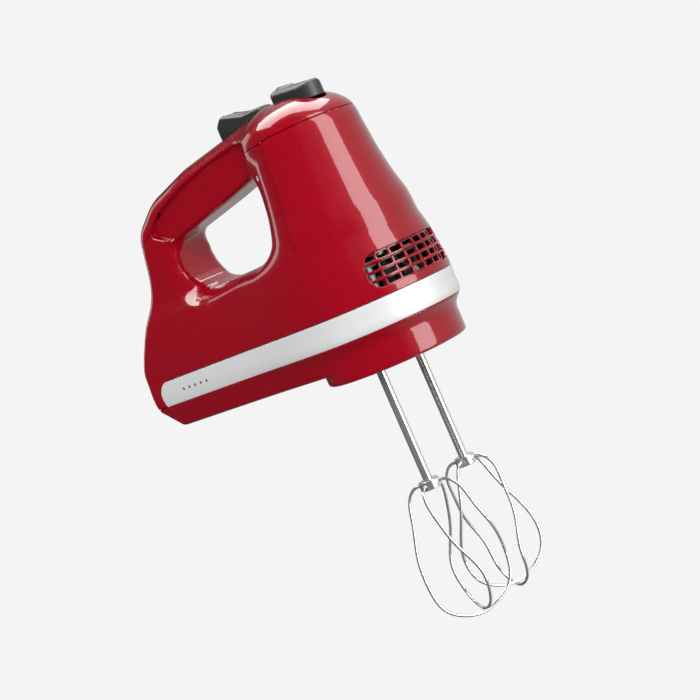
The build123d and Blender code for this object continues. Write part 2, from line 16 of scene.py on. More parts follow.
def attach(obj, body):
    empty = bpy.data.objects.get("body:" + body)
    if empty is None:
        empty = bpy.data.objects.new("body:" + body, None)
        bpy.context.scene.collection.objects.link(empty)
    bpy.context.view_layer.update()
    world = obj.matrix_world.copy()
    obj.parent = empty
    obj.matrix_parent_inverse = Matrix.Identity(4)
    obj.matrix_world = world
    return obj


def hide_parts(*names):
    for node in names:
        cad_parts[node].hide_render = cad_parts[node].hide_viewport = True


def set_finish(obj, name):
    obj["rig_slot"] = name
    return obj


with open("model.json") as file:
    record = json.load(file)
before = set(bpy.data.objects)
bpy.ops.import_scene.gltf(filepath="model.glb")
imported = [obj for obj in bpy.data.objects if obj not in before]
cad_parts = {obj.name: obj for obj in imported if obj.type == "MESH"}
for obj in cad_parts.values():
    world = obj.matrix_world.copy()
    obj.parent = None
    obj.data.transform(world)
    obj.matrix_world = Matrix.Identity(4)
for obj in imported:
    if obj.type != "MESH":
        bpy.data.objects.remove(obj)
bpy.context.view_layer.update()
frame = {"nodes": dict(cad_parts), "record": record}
MM = 0.001                     # the shapes below are worked out in millimetres

# %% [markdown]
# ## Shapes as fields
# A moulding like this has no flat sides: every face is crowned and melts into the next.
# It could be a subdivided cage pushed about by hand, but the finger opening, the crowned nose and
# the shut lines all have to follow one surface. So the body is written as a distance field, a
# function that is negative inside, and a mesh is then drawn where the field is zero.
# Corners come from a rounded intersection of two simple fields.

# %% Rounded intersections and smooth tables
def both(a, b, radius):
    """Inside a and inside b, with the edge between them rounded."""
    return (np.minimum(-radius, np.maximum(a, b))
            + np.hypot(np.maximum(a + radius, 0), np.maximum(b + radius, 0)))


def either(a, b, radius):
    """Inside a or inside b, with a soft fillet in the corner between them."""
    return -both(-a, -b, radius)


def ramp(low, high, value):
    """0 below low, 1 above high, and a soft change between them."""
    t = np.clip((value - low) / (high - low), 0, 1)
    return t * t * (3 - 2 * t)


def blend(t, start, end, start_slope, end_slope):
    """A cubic from start to end as t goes from 0 to 1, with a slope at each end."""
    return (start * (1 + 2 * t) * (1 - t) ** 2 + start_slope * t * (1 - t) ** 2
            + end * t * t * (3 - 2 * t) + end_slope * t * t * (t - 1))


def table(heights, values):
    """A smooth curve through a few heights, as a function of height."""
    h, v = np.array(heights, float), np.array(values, float)
    slope = np.gradient(v, h)

    def at(z):
        z = np.clip(z, h[0], h[-1])
        i = np.clip(np.searchsorted(h, z, side="right") - 1, 0, len(h) - 2)
        span = h[i + 1] - h[i]
        return blend((z - h[i]) / span, v[i], v[i + 1], slope[i] * span, slope[i + 1] * span)
    return at


# %% Outlines seen from the side
def outline(corners, arc_steps=7):
    """Closed outline from corner points, each with its own rounding radius."""
    points = []
    count = len(corners)
    for i, (x, z, radius) in enumerate(corners):
        here = np.array((x, z), float)
        before = np.array(corners[i - 1][:2], float) - here
        after = np.array(corners[(i + 1) % count][:2], float) - here
        before, after = before / np.linalg.norm(before), after / np.linalg.norm(after)
        if not radius:
            points.append(here)
            continue
        half = math.acos(np.clip(before @ after, -1, 1)) / 2
        middle = (before + after) / np.linalg.norm(before + after)
        centre = here + middle * radius / math.sin(half)
        start = here + before * radius / math.tan(half) - centre
        end = here + after * radius / math.tan(half) - centre
        turn = math.atan2(start[0] * end[1] - start[1] * end[0], start @ end)
        for step in range(arc_steps + 1):
            a = turn * step / arc_steps
            c, s = math.cos(a), math.sin(a)
            points.append(centre + (start[0] * c - start[1] * s, start[0] * s + start[1] * c))
    return np.array(points)


def outline_field(points):
    """Distance to a closed outline in x and z, negative inside."""
    def at(x, z):
        x, z = np.broadcast_arrays(x, z)
        nearest = np.full(x.shape, 1e9)
        inside = np.zeros(x.shape, bool)
        for a, b in zip(points, np.roll(points, -1, axis=0)):
            d = b - a
            px, pz = x - a[0], z - a[1]
            t = np.clip((px * d[0] + pz * d[1]) / max(d @ d, 1e-9), 0, 1)
            nearest = np.minimum(nearest, (px - t * d[0]) ** 2 + (pz - t * d[1]) ** 2)
            crosses = (a[1] > z) != (b[1] > z)
            with np.errstate(divide="ignore", invalid="ignore"):
                left = px < d[0] * pz / d[1]
            inside ^= crosses & left
        return np.where(inside, -1, 1) * np.sqrt(nearest)
    return at


# %% [markdown]
# ## The body's field
# From above, the nose is a round tower about the beaters' axis plane, and the low motor housing
# tapers back from it to the heel. Higher up only the tower and a slim grip remain.
# From the side, one outline gives heel, handle and nose, and a second gives the finger opening.

# %% Measures of the body
AXIS_X = 160.0                 # the plane of the two beaters
TAPER_X, WAIST_X = -6.0, 90.0  # where the plan's rear curve starts, and where the front one takes over
BAND_LOW, BAND_HIGH, BAND_REAR = -10.5, 3.5, 10.0
BOSS_R, BOSS_LOW, BOSS_HIGH = 37.9, -29.9, -13.5
GRIP_INNER = 12.6              # half thickness of the grip between its two hollows
GRIP_SWELL = 3.5               # how much the grip widens as it meets the tower
TOP_X = 215.0                  # the side outline is closed beyond the nose, where the tower ends first

nose_radius = table(
    [-24, -14, -10.5, -2, 5.6, 16, 26, 36, 46.5, 59,
     72, 87, 95, 100.4, 105.5, 108.5, 111, 113.5, 116],
    [36, 39.3, 42.2, 43.2, 43.4, 42.7, 41.2, 38.9, 35.9, 32.7,
     30.5, 28.8, 27.4, 25.8, 22.4, 18.8, 14.5, 9.5, 6])
waist_width = table([-24, -14, -10.5, 5.6, 26, 36, 46], [27, 31, 33, 34, 30, 26.5, 22.5])
heel_width = table([-24, -14, -10.5, 5.6, 26, 36, 50, 72, 100],
                   [18, 22, 23.5, 24, 22, 20, 17.5, 16.5, 15.5])
grip_width = table([40, 59, 72, 87, 98, 105, 116], [18, 17.5, 16.6, 15.8, 15.6, 15.4, 15])

side_view = outline_field(outline([
    (9, -24, 3), (0, -12.5, 3), (0, 12, 14), (11, 32, 22), (25.5, 56, 34), (29.6, 85, 16),
    (48.5, 97.2, 34), (80, 104.6, 60), (151, 112.7, 30), (176, 110.5, 30), (TOP_X, 93, 0), (TOP_X, -24, 0)]))
finger_hole = outline_field(outline([
    (47.5, 40.6, 19), (138.5, 40.6, 22), (138.5, 85.5, 11), (100, 78.2, 60), (56.5, 71.6, 10)]))
grip_panel = outline_field(outline([
    (43, 79.5, 2), (54, 88.2, 12), (80, 95.9, 40), (104, 100.1, 50), (127, 102.2, 14), (141, 101.5, 4.5),
    (140.2, 94, 7), (130, 86.2, 12), (104, 80.6, 60), (84, 77.4, 30), (67, 72.2, 6), (55, 73.2, 8)]))


def parting_height(x):
    """Height of the line where the handle's cover meets the housing."""
    return np.interp(x, PARTING_X, PARTING_Z)


PARTING_X = [-20, 26, 38, 44, 50, 56, 66, 80, 92, 104,
             116, 127, 133, 137.5, 141.2, 150, 165, 190, 220]
PARTING_Z = [72, 74.2, 77.6, 80.6, 85.2, 88.9, 92.6, 96.2, 98.4, 100.3,
             101.7, 102.4, 102.2, 100.4, 95.6, 95.6, 96.3, 96.6, 95.6]


# %% The body
def plan_view(x, y, z):
    """Distance seen from above: tower, tapering housing below and grip above."""
    tower = np.hypot(x - AXIS_X, y) - nose_radius(z)
    width = np.abs(y)
    heel, waist, nose = heel_width(z), waist_width(z), nose_radius(z)
    lean = (nose - heel) / (AXIS_X - TAPER_X)
    rear_long, front_long = WAIST_X - TAPER_X, AXIS_X - WAIST_X
    t = np.clip((x - TAPER_X) / rear_long, 0, 1)
    rear = blend(t, heel, waist, rear_long * lean, rear_long * lean)
    t = np.clip((x - WAIST_X) / front_long, 0, 1)
    front = blend(t, waist, nose, front_long * lean, 0)
    low = np.where(x > AXIS_X, tower, width - np.where(x < WAIST_X, rear, front))
    shoulder = ramp(84, 99, z)
    swell = ramp(84, 95, z) - 0.8 * ramp(97, 110, z)
    grip = width - grip_width(z) - GRIP_SWELL * swell * ramp(110, 148, x)
    high = either(tower, np.where(x > AXIS_X, tower, grip), 9 + 3 * shoulder)
    share = ramp(34, 50, z)
    return low * (1 - share) + high * share


EDGE_Z = [-24, -12, 0, 20, 45, 70, 86, 110]
EDGE_ROUND = [2.5, 2, 2.5, 4, 7, 9, 11, 11.5]


def body(x, y, z):
    """The whole moulded skin as one field."""
    side = side_view(x, z)
    hole = finger_hole(x, z)
    skin = both(plan_view(x, y, z), side, np.interp(z, EDGE_Z, EDGE_ROUND))
    hole_edge = (1.6 + 7 * ramp(62, 72, z) * ramp(140, 128, x)
                 + 6 * ramp(110, 70, x) * ramp(76, 60, z) + 3 * ramp(50, 42, z))
    skin = both(skin, -hole, hole_edge)
    pocket = both(grip_panel(x, z), GRIP_INNER - np.abs(y), 0.8)
    skin = both(skin, -pocket, 0.9)
    boss = both(np.hypot(x - AXIS_X, y) - BOSS_R, np.abs(z - (BOSS_LOW + BOSS_HIGH) / 2)
                - (BOSS_HIGH - BOSS_LOW) / 2, 2.0)
    return either(skin, boss, 0.6)


# %% [markdown]
# ## From field to mesh
# The field is sampled on a grid and a point is put in every cell that the surface crosses. Each
# point then slides down the field's slope onto the surface, so the mesh is far smoother than the
# grid. Marching cubes would also work, but it leaves thin sliver triangles that show in gloss.

# %% Draw a field
def slope_of(field, p, h=0.05):
    """Which way the field rises at each point."""
    x, y, z = p.T
    return np.stack([field(x + h, y, z) - field(x - h, y, z), field(x, y + h, z) - field(x, y - h, z),
                     field(x, y, z + h) - field(x, y, z - h)], axis=1) / (2 * h)


def draw_field(field, low, high, step):
    """Triangles and points where the field is zero."""
    axes = [np.arange(a, b + step, step) for a, b in zip(low, high)]
    value = field(axes[0][:, None, None], axes[1][None, :, None], axes[2][None, None, :])
    value = np.broadcast_to(value, [len(a) for a in axes])
    inside = value < 0
    size = [n - 1 for n in value.shape]
    total = np.zeros(size + [3])
    count = np.zeros(size)
    for axis in range(3):
        u, w = [a for a in range(3) if a != axis]
        a = np.take(value, range(size[axis]), axis)
        b = np.take(value, range(1, size[axis] + 1), axis)
        crossed = (a < 0) != (b < 0)
        with np.errstate(divide="ignore", invalid="ignore"):
            share = np.where(crossed, a / (a - b), 0.0)
        for du in (0, 1):
            for dw in (0, 1):
                cut = [slice(None)] * 3
                cut[u] = slice(du, du + size[u])
                cut[w] = slice(dw, dw + size[w])
                hit, where = crossed[tuple(cut)], share[tuple(cut)]
                count += hit
                total[..., axis] += where
                total[..., u] += hit * du
                total[..., w] += hit * dw
    live = count > 0
    number = np.full(size, -1)
    number[live] = np.arange(live.sum())
    cell = np.argwhere(live)
    points = (cell + total[live] / count[live][:, None]) * step + np.array(low)
    quads = []
    for axis in range(3):
        u, w = [(1, 2), (2, 0), (0, 1)][axis]
        a = np.take(inside, range(size[axis]), axis)
        b = np.take(inside, range(1, size[axis] + 1), axis)
        for sense in (1, -1):
            hit = np.argwhere((a & ~b) if sense > 0 else (~a & b))
            hit = hit[(hit[:, u] > 0) & (hit[:, w] > 0)
                      & (hit[:, u] < size[u]) & (hit[:, w] < size[w])]
            corner = []
            for du, dw in ((-1, -1), (0, -1), (0, 0), (-1, 0))[::sense]:
                c = hit.copy()
                c[:, u] += du
                c[:, w] += dw
                corner.append(number[c[:, 0], c[:, 1], c[:, 2]])
            quads.append(np.stack(corner, axis=1))
    quads = np.concatenate(quads)
    for _ in range(3):
        rise = slope_of(field, points)
        length = np.maximum((rise ** 2).sum(1), 0.3)
        points -= rise * np.clip(field(*points.T) / length, -0.6 * step, 0.6 * step)[:, None]
    faces = np.concatenate([quads[:, [0, 1, 2]], quads[:, [0, 2, 3]]])
    return points, faces


# %% Part a mesh along a line
def split(points, faces, level):
    """Cut triangles where level is zero. Returns points, faces, levels and the faces' side."""
    below = level <= 0
    kinds = below[faces].sum(1)
    kept = [faces[(kinds == 0) | (kinds == 3)]]
    new_points, new_level = [points], [level]
    start = len(points)
    crossing = faces[(kinds == 1) | (kinds == 2)]
    if len(crossing):
        lone = np.where(below[crossing].sum(1) == 1, 1, 0)[:, None] == below[crossing]
        first = lone.argmax(1)
        rows = np.arange(len(crossing))
        a, b, c = (crossing[rows, (first + k) % 3] for k in range(3))
        edges = np.sort(np.concatenate([np.stack([a, b], 1), np.stack([c, a], 1)]), axis=1)
        unique, which = np.unique(edges, axis=0, return_inverse=True)
        which = which.reshape(-1)
        p, q = unique.T
        share = (level[p] / (level[p] - level[q]))[:, None]
        new_points.append(points[p] * (1 - share) + points[q] * share)
        new_level.append(np.zeros(len(unique)))
        ab, ca = start + which[:len(a)], start + which[len(a):]
        kept += [np.stack([a, ab, ca], 1), np.stack([ab, b, c], 1), np.stack([ab, c, ca], 1)]
    points, level = np.concatenate(new_points), np.concatenate(new_level)
    faces = np.concatenate(kept)
    return points, faces, level, level[faces].mean(1) < 0


RINGS = (0.40, 0.16)           # how far in from a rim its two rings of points lie
RIM = 0.35                     # how far a rim is rolled under


def keep(points, faces, level_of):
    """Only the part of the mesh where level_of is negative, with two rings near its rim."""
    for depth in RINGS:
        points, faces, _, _ = split(points, faces, level_of(*points.T) + depth)
    points, faces, _, side = split(points, faces, level_of(*points.T))
    faces = faces[side]
    used, faces = np.unique(faces, return_inverse=True)
    return points[used], faces.reshape(-1, 3)


# %% Give a sheet its wall
def thicken(points, faces, normal, wall, rim_of):
    """A closed moulding: the outer sheet, an inner one a wall's thickness in, and the rim."""
    depth = np.clip(-rim_of(*points.T), 0, RIM)
    outer = points - normal * (RIM - np.sqrt(RIM ** 2 - (RIM - depth) ** 2))[:, None]
    count = len(points)
    edges = np.concatenate([faces[:, [0, 1]], faces[:, [1, 2]], faces[:, [2, 0]]])
    key = np.sort(edges, axis=1)
    _, index, times = np.unique(key, axis=0, return_index=True, return_counts=True)
    border = edges[index[times == 1]]
    side = np.concatenate([np.stack([border[:, 1], border[:, 0], border[:, 0] + count], 1),
                           np.stack([border[:, 1], border[:, 0] + count, border[:, 1] + count], 1)])
    return (np.concatenate([outer, points - normal * wall]),
            np.concatenate([faces, faces[:, ::-1] + count, side]))


SHARP = math.radians(38)       # edges bent more than this stay crisp


def piece(name, points, faces, body_name, slot, node):
    """A Blender object from millimetre points, riding on its body in place of a CAD node."""
    mesh = bpy.data.meshes.new(name)
    mesh.from_pydata((points * MM).tolist(), [], faces.tolist())
    mesh.validate()
    mesh.shade_smooth()
    mesh.set_sharp_from_angle(angle=SHARP)
    thing = bpy.data.objects.new(name, mesh)
    bpy.context.scene.collection.objects.link(thing)
    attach(thing, body_name)
    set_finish(thing, slot)
    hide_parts(node)
    size = points.max(0) - points.min(0)
    print(f"{name}: {len(mesh.polygons)} faces, {size.round(1).tolist()} mm")
    return thing


STEP = 1.0      # millimetres between the grid's points
skin_points, skin_faces = draw_field(body, (-4, -46, -33), (208, 46, 119), STEP)
print("skin:", len(skin_points), "points")

# %% [markdown]
# ## Shut lines
# The real body is three mouldings and a trim strip that meet at fine gaps. Each piece is the same
# skin, kept only on one side of a line, with its rim rolled under by a third of a millimetre so
# that the gap catches a highlight. The lines are fields too: the base ends at a level, the band is
# a rounded rectangle, and the cover ends at the parting line along the handle.

# %% Lines between the mouldings
SEAM = 0.14                    # half a gap


def above_base(x, y, z):
    """Negative above the level where the base ends."""
    return BAND_LOW - z


def off_band(x, y, z):
    """Negative outside the silver band's recess."""
    return -both(BAND_REAR - x, z - BAND_HIGH, 9.0)


def above_parting(x, y, z):
    """Negative where the cover is."""
    return parting_height(x) - z


WINDOW_Z, WINDOW_HALF, WINDOW_REACH, WINDOW_ROUND = 16.3, 8.6, 34.0, 7.0
BAR_PITCH, BAR_HALF = 4.45, 0.65
NOSE_R = 42.5                  # the nose's radius at the window


def round_nose(x, y):
    """Distance round the nose from its tip, the same on both sides."""
    return np.abs(np.arctan2(y, x - AXIS_X)) * NOSE_R


def window(x, y, z):
    """Negative inside the air window, whose ends are round."""
    return both(round_nose(x, y) - WINDOW_REACH, np.abs(z - WINDOW_Z) - WINDOW_HALF, WINDOW_ROUND)


def slots(x, y, z):
    """Negative inside the openings between the window's three bars."""
    bars = np.min([np.abs(z - WINDOW_Z - k * BAR_PITCH) - BAR_HALF for k in (-1, 0, 1)], axis=0)
    return np.maximum(window(x, y, z), -bars)


EJECT_REAR, EJECT_AXIS, EJECT_HALF, EJECT_CORNER = 157.0, 175.0, 8.0, 2.2
EJECT_GAP = 0.2
STEM_X, STEM_REACH, STEM_HALF = 133.5, 9.5, 2.6


def eject_plan(x, y):
    """Distance from the ejector's sides and round front, seen from above."""
    return np.where(x > EJECT_AXIS, np.hypot(x - EJECT_AXIS, y), np.abs(y)) - EJECT_HALF


def eject_hole(x, y, z):
    """Negative inside the ejector's hole, whose walls stand upright so that the button can sink."""
    return both(EJECT_REAR - EJECT_GAP - x, eject_plan(x, y) - EJECT_GAP, EJECT_CORNER)


def control_holes(x, y, z):
    """Negative inside the ejector's hole and the speed slide's slot in the cover."""
    stem = np.maximum(np.abs(x - STEM_X) - STEM_REACH, np.abs(y) - STEM_HALF)
    return np.minimum(eject_hole(x, y, z), stem)


def housing_edge(x, y, z):
    """Negative on the housing, which is what the base, the band and the cover leave."""
    lines = [above_base(x, y, z), off_band(x, y, z), -above_parting(x, y, z), -slots(x, y, z)]
    return np.max(lines, axis=0) + SEAM


def cover_edge(x, y, z):
    """Negative on the handle's cover."""
    return np.maximum(above_parting(x, y, z), -control_holes(x, y, z)) + SEAM


# Holes through the base's underside: their x, their distance either side of the middle, and radius.
SPINDLE_HOLES, GLAND_HOLE = (AXIS_X, 16.2, 5.6), (34, 0, 8.6)
SCREW_HOLES = [(15, 12.5, 3.1), (118, 25, 3.1)]
UNDERSIDE_TOP, FAR_OFF = -20, 50


def base_edge(x, y, z):
    """Negative on the base, outside the holes in its underside."""
    holes = [np.hypot(x - hole_x, np.abs(y) - hole_y) - radius
             for hole_x, hole_y, radius in (SPINDLE_HOLES, GLAND_HOLE, *SCREW_HOLES)]
    under = np.min(holes, axis=0) + np.where(z > UNDERSIDE_TOP, FAR_OFF, 0)
    return np.maximum(-above_base(x, y, z), -under) + SEAM


def band_edge(x, y, z):
    """Negative on the band."""
    return np.maximum(-off_band(x, y, z), above_base(x, y, z)) + SEAM


# %% Cut the pieces
COVER_LOW = 90                 # everything near the ejector's hole is above this


def moulding(name, edge, wall, slot, node, sink=0.0):
    """One piece of the skin: kept inside its edge, sunk if need be, and given a wall."""
    points, faces = keep(skin_points, skin_faces, edge)
    normal = slope_of(body, points)
    by_hole = ramp(3.5, 1.0, eject_hole(*points.T)) * (points[:, 2] > COVER_LOW)
    normal = normal * (1 - by_hole)[:, None] + np.outer(by_hole, (0, 0, 1))
    normal /= np.maximum(np.linalg.norm(normal, axis=1), 1e-6)[:, None]
    points, faces = thicken(points - normal * sink, faces, normal, wall, edge)
    return piece(name, points, faces, "root", slot, node)


WALL, BAND_WALL, BACKING_WALL, BACKING_SINK = 2.0, 1.0, 1.2, 2.6
housing_shell = moulding("housing_shell", housing_edge, WALL, "red_gloss", "main_housing")
cover_shell = moulding("cover_shell", cover_edge, WALL, "red_gloss", "top_cover")
base_shell = moulding("base_shell", base_edge, WALL, "red_gloss", "base_housing")
band_strip = moulding("band_strip", band_edge, BAND_WALL, "band_silver", "trim_band")

# %% [markdown]
# ## Behind the air slots
# Behind the three bars the housing has a second red wall, pierced by rows of small rectangles, so
# that air passes and fingers do not. It is the same skin again, sunk by BACKING_SINK.

# %% The pierced wall
RIB_PITCH, RIB_HALF = 8.6, 0.75
ROW_HALF, BACKING_LAP = 1.45, 2.0


def pierced(x, y, z):
    """Negative on the wall behind the window, between its rectangles."""
    along = np.abs((round_nose(x, y) % RIB_PITCH) - RIB_PITCH / 2) - (RIB_PITCH / 2 - RIB_HALF)
    rows = np.min([np.abs(z - WINDOW_Z - k * BAR_PITCH) - ROW_HALF
                   for k in (-1.5, -0.5, 0.5, 1.5)], axis=0)
    return np.maximum(window(x, y, z) - BACKING_LAP, -np.maximum(along, rows))


vent_backing = moulding("vent_backing", pierced, BACKING_WALL, "red_gloss", "vent_grille",
                        sink=BACKING_SINK)

# %% [markdown]
# ## Thumb controls
# The speed slide is a wedge, high at the back where the thumb rests, with a dished oval inset.
# The ejector is a tall button, flat at the back and round at the front. Both are drawn with
# the same field tools on a finer grid, each as its own object on its own moving body.

# %% Speed slide
slide_side = outline_field(outline([
    (115.6, 105.5, 0), (115.0, 116.4, 2.5), (119.2, 120.2, 2.5), (134.5, 115.9, 7), (145.0, 115.1, 1.5),
    (146.2, 112.6, 1), (146.2, 109.0, 0)]))
DISH_X, DISH_LONG, DISH_WIDE = 125.4, 7.4, 5.6
DISH_DEPTH, OVAL_DEPTH, OVAL_THICK, OVAL_GAP = 0.9, 0.45, 2.55, 0.3
THUMB_X, THUMB_Z, THUMB_SLOPE = 119.2, 120.0, 0.265
CROWN = 0.02                   # how fast the slide's top falls away to its sides
SLIDE_HALF, SLIDE_NARROWS, SLIDE_DRAFT = 8.4, 2.4, 0.09


def thumb_face(x):
    """Height of the wedge's sloping face where the thumb rests."""
    return THUMB_Z - THUMB_SLOPE * (x - THUMB_X)


def dish(x, y):
    """Negative inside the oval, seen from above."""
    return (np.hypot((x - DISH_X) / DISH_LONG, y / DISH_WIDE) - 1) * DISH_WIDE


def slide_block(x, y, z):
    """The wedge, less its dish."""
    half = SLIDE_HALF - SLIDE_NARROWS * ramp(133, 146, x) - SLIDE_DRAFT * np.maximum(z - 110, 0)
    wedge = both(slide_side(x, z + CROWN * y * y), np.abs(y) - half, 1.0)
    hollow = both(dish(x, y), thumb_face(x) - CROWN * y * y - DISH_DEPTH - z, 0.3)
    return both(wedge, -hollow, 0.3)


def slide_oval(x, y, z):
    """The oval plate lying in the dish."""
    top = z - thumb_face(x) + OVAL_DEPTH + CROWN * y * y
    under = thumb_face(x) - OVAL_DEPTH - OVAL_THICK - z
    return both(both(dish(x, y) + OVAL_GAP, top, 0.5), under, 0.2)


FINE_STEP = 0.42
points, faces = draw_field(slide_block, (112, -10, 104), (147, 10, 122), FINE_STEP)
slide_cap = piece("slide_cap", points, faces, "speed_control", "control_grey", "speed_slide")
points, faces = draw_field(slide_oval, (116, -7, 113), (134, 7, 121), FINE_STEP)
slide_dish = piece("slide_dish", points, faces, "speed_control", "inset_grey", "slide_inset")

# %% Ejector button
EJECT_TOP, EJECT_FOOT, EJECT_SLOPE, EJECT_CROWN = 118.7, 106.5, 0.145, 0.026
BUMP_X, BUMP_LONG, BUMP_WIDE, BUMP_HIGH, BUMP_ROUND = 163.0, 5.0, 3.6, 0.9, 0.8


def eject_block(x, y, z):
    """The button: its plan, a falling crown, and a low oval bump where the thumb finds it."""
    plan = both(eject_plan(x, y), EJECT_REAR - x, EJECT_CORNER)
    crown = z - (EJECT_TOP - EJECT_SLOPE * (x - EJECT_REAR) - EJECT_CROWN * y * y)
    bump = (np.hypot((x - BUMP_X) / BUMP_LONG, y / BUMP_WIDE) - 1) * BUMP_WIDE
    top = either(crown, both(bump, crown - BUMP_HIGH, BUMP_ROUND), BUMP_ROUND)
    return both(both(plan, top, 1.8), EJECT_FOOT - z, 0.3)


points, faces = draw_field(eject_block, (152, -11, 105), (186, 11, 124), FINE_STEP)
ejector_cap = piece("ejector_cap", points, faces, "ejector", "control_grey", "eject_button")

# %% [markdown]
# ## Finishes
# Shader maths is easier to read as sums than as a web of nodes. The small class below stands for
# one socket, and Python's own operators add the Math nodes. One method, node, makes any other.

# %% A socket that can be added and multiplied
class Value:
    """A number or vector that varies over a surface, as a socket in one material or world."""

    def __init__(self, tree, socket):
        self.tree, self.socket = tree, socket

    def node(self, kind, settings=(), sockets=(), output=0):
        """Any node: its type, its settings first, then its sockets' values or links."""
        made = self.tree.nodes.new(kind)
        for name, value in dict(settings).items():
            setattr(made, name, value)
        for name, value in dict(sockets).items():
            if isinstance(value, Value):
                self.tree.links.new(value.socket, made.inputs[name])
            else:
                made.inputs[name].default_value = value
        return Value(self.tree, made.outputs[output])

    def maths(self, operation, a, b):
        return self.node("ShaderNodeMath", {"operation": operation}, {0: a, 1: b})

    def __add__(self, other):
        return self.maths("ADD", self, other)

    def __sub__(self, other):
        return self.maths("SUBTRACT", self, other)

    def __rsub__(self, other):
        return self.maths("SUBTRACT", other, self)

    def __mul__(self, other):
        return self.maths("MULTIPLY", self, other)

    def __gt__(self, other):
        return self.maths("GREATER_THAN", self, other)

    def __lt__(self, other):
        return self.maths("LESS_THAN", self, other)

    __radd__, __rmul__ = __add__, __mul__

    def smooth(self, low, high):
        """0 to 1 as this value goes from low to high."""
        return self.node("ShaderNodeMapRange", {"interpolation_type": "SMOOTHSTEP"},
                         {"Value": self, "From Min": low, "From Max": high})

    def colours(self, one, other):
        """The colour one where this value is 0, and other where it is 1."""
        return self.node("ShaderNodeMix", {"data_type": "RGBA"}, {0: self, 6: one, 7: other}, 2)


class Finish:
    """One material: a Principled shader and the textures that feed it."""

    def __init__(self, name, colour, metallic=0.0, roughness=0.4, **fixed):
        self.material = bpy.data.materials.new(name)
        self.material.use_nodes = True
        tree = self.material.node_tree
        self.shader = tree.nodes["Principled BSDF"]
        self.start = Value(tree, tree.nodes.new("ShaderNodeTexCoord").outputs["Object"])
        self.set("Base Color", (*colour, 1))
        self.set("Metallic", metallic)
        self.set("Roughness", roughness)
        for socket, value in fixed.items():
            self.set(socket.replace("_", " "), value)
        self.colour = colour

    def set(self, socket, value):
        """Feed one of the shader's sockets with a varying value, or give it an even one."""
        if isinstance(value, Value):
            value.tree.links.new(value.socket, self.shader.inputs[socket])
        else:
            self.shader.inputs[socket].default_value = value

    def noise(self, scale, detail=3.0, stretch=(1, 1, 1)):
        """Cloudy noise from 0 to 1; scale is in patches a metre."""
        place = self.start.node("ShaderNodeVectorMath", {"operation": "MULTIPLY"},
                                {0: self.start, 1: stretch})
        return self.start.node("ShaderNodeTexNoise", {},
                               {"Vector": place, "Scale": scale, "Detail": detail})

    def cells(self, scale):
        """Distance from the middle of each cell in a pattern of small cells."""
        return self.start.node("ShaderNodeTexVoronoi", {}, {"Vector": self.start, "Scale": scale})

    def tint(self, mask, other):
        """Blend the base colour towards another where the mask is 1."""
        self.set("Base Color", mask.colours((*self.colour, 1), (*other, 1)))

    def bump(self, height, depth, strength):
        """Relief: depth is in metres."""
        sockets = {"Height": height, "Distance": depth, "Strength": strength}
        self.set("Normal", self.start.node("ShaderNodeBump", {}, sockets))


# %% [markdown]
# ## The red gloss skin
# Gloss moulded plastic is a deep colour under a clear, hard surface. Its reflections are sharp,
# but not perfect: the mould leaves a faint long ripple, and handling leaves a slight haze.
# A clear coat carries the sharp reflection and the layer under it stays softer.

# %% Red gloss
red = Finish("red_gloss", (0.40, 0.0002, 0.0120), roughness=0.28, Coat_Weight=1.0, Coat_Roughness=0.03,
             Specular_IOR_Level=0.1)
ripple = red.noise(38, 2)
haze = red.noise(420, 4)
red.tint(ripple.smooth(0.35, 0.75) * 0.5, (0.385, 0.0002, 0.0105))
red.set("Roughness", 0.24 + haze.smooth(0.35, 0.8) * 0.1)
red.bump(ripple * 0.7 + red.noise(900, 2) * 0.012, 0.0006, 0.10)

# %% [markdown]
# ## Silver band
# The band is a thin strip with a brushed, satin metal finish that runs lengthwise.
# Fine grains stretched along the band turn the highlight into a soft sheet.

# Near its rear end five small dots are printed on it.

# %% Satin band
DOT_FIRST, DOT_PITCH, DOT_COUNT, DOT_RADIUS, DOT_HEIGHT = 0.0300, 0.0055, 5, 0.0009, -0.0036
satin = Finish("satin_band", (0.95, 0.95, 0.955), metallic=0.1, roughness=0.36, Specular_IOR_Level=0.6)
grain = satin.noise(900, 3, (0.04, 0.04, 1.0))
along = satin.start.node("ShaderNodeSeparateXYZ", {}, {0: satin.start}, "X")
upward = satin.start.node("ShaderNodeSeparateXYZ", {}, {0: satin.start}, "Z")
in_row = (along > DOT_FIRST) * (DOT_FIRST + DOT_COUNT * DOT_PITCH > along)
past_first = along - DOT_FIRST
off_x = past_first.maths("MODULO", past_first, DOT_PITCH) - DOT_PITCH / 2
off_z = upward - DOT_HEIGHT
five_dots = (DOT_RADIUS ** 2 > off_x * off_x + off_z * off_z) * in_row
brushed = (grain.smooth(0.3, 0.7) * 0.35).colours((*satin.colour, 1), (0.86, 0.865, 0.87, 1))
satin.set("Base Color", five_dots.colours(brushed, (0.16, 0.16, 0.17, 1)))
satin.set("Roughness", 0.3 + grain * 0.14)
satin.bump(grain, 0.00004, 0.35)

# %% Charcoal control plastic and its lighter inset
charcoal = Finish("charcoal_control", (0.030, 0.031, 0.033), roughness=0.42, Specular_IOR_Level=0.55)
charcoal.tint(charcoal.noise(260, 4).smooth(0.4, 0.8) * 0.6, (0.042, 0.043, 0.046))
charcoal.set("Roughness", 0.36 + charcoal.noise(700, 3) * 0.16)
charcoal.bump(charcoal.cells(1800), 0.00005, 0.5)

inset = Finish("inset_grey", (0.20, 0.205, 0.21), roughness=0.34, metallic=0.15)
inset.tint(inset.noise(500, 4).smooth(0.4, 0.7) * 0.5, (0.26, 0.265, 0.27))
inset.set("Roughness", 0.28 + inset.noise(900, 3) * 0.14)
inset.bump(inset.cells(2400), 0.00003, 0.4)

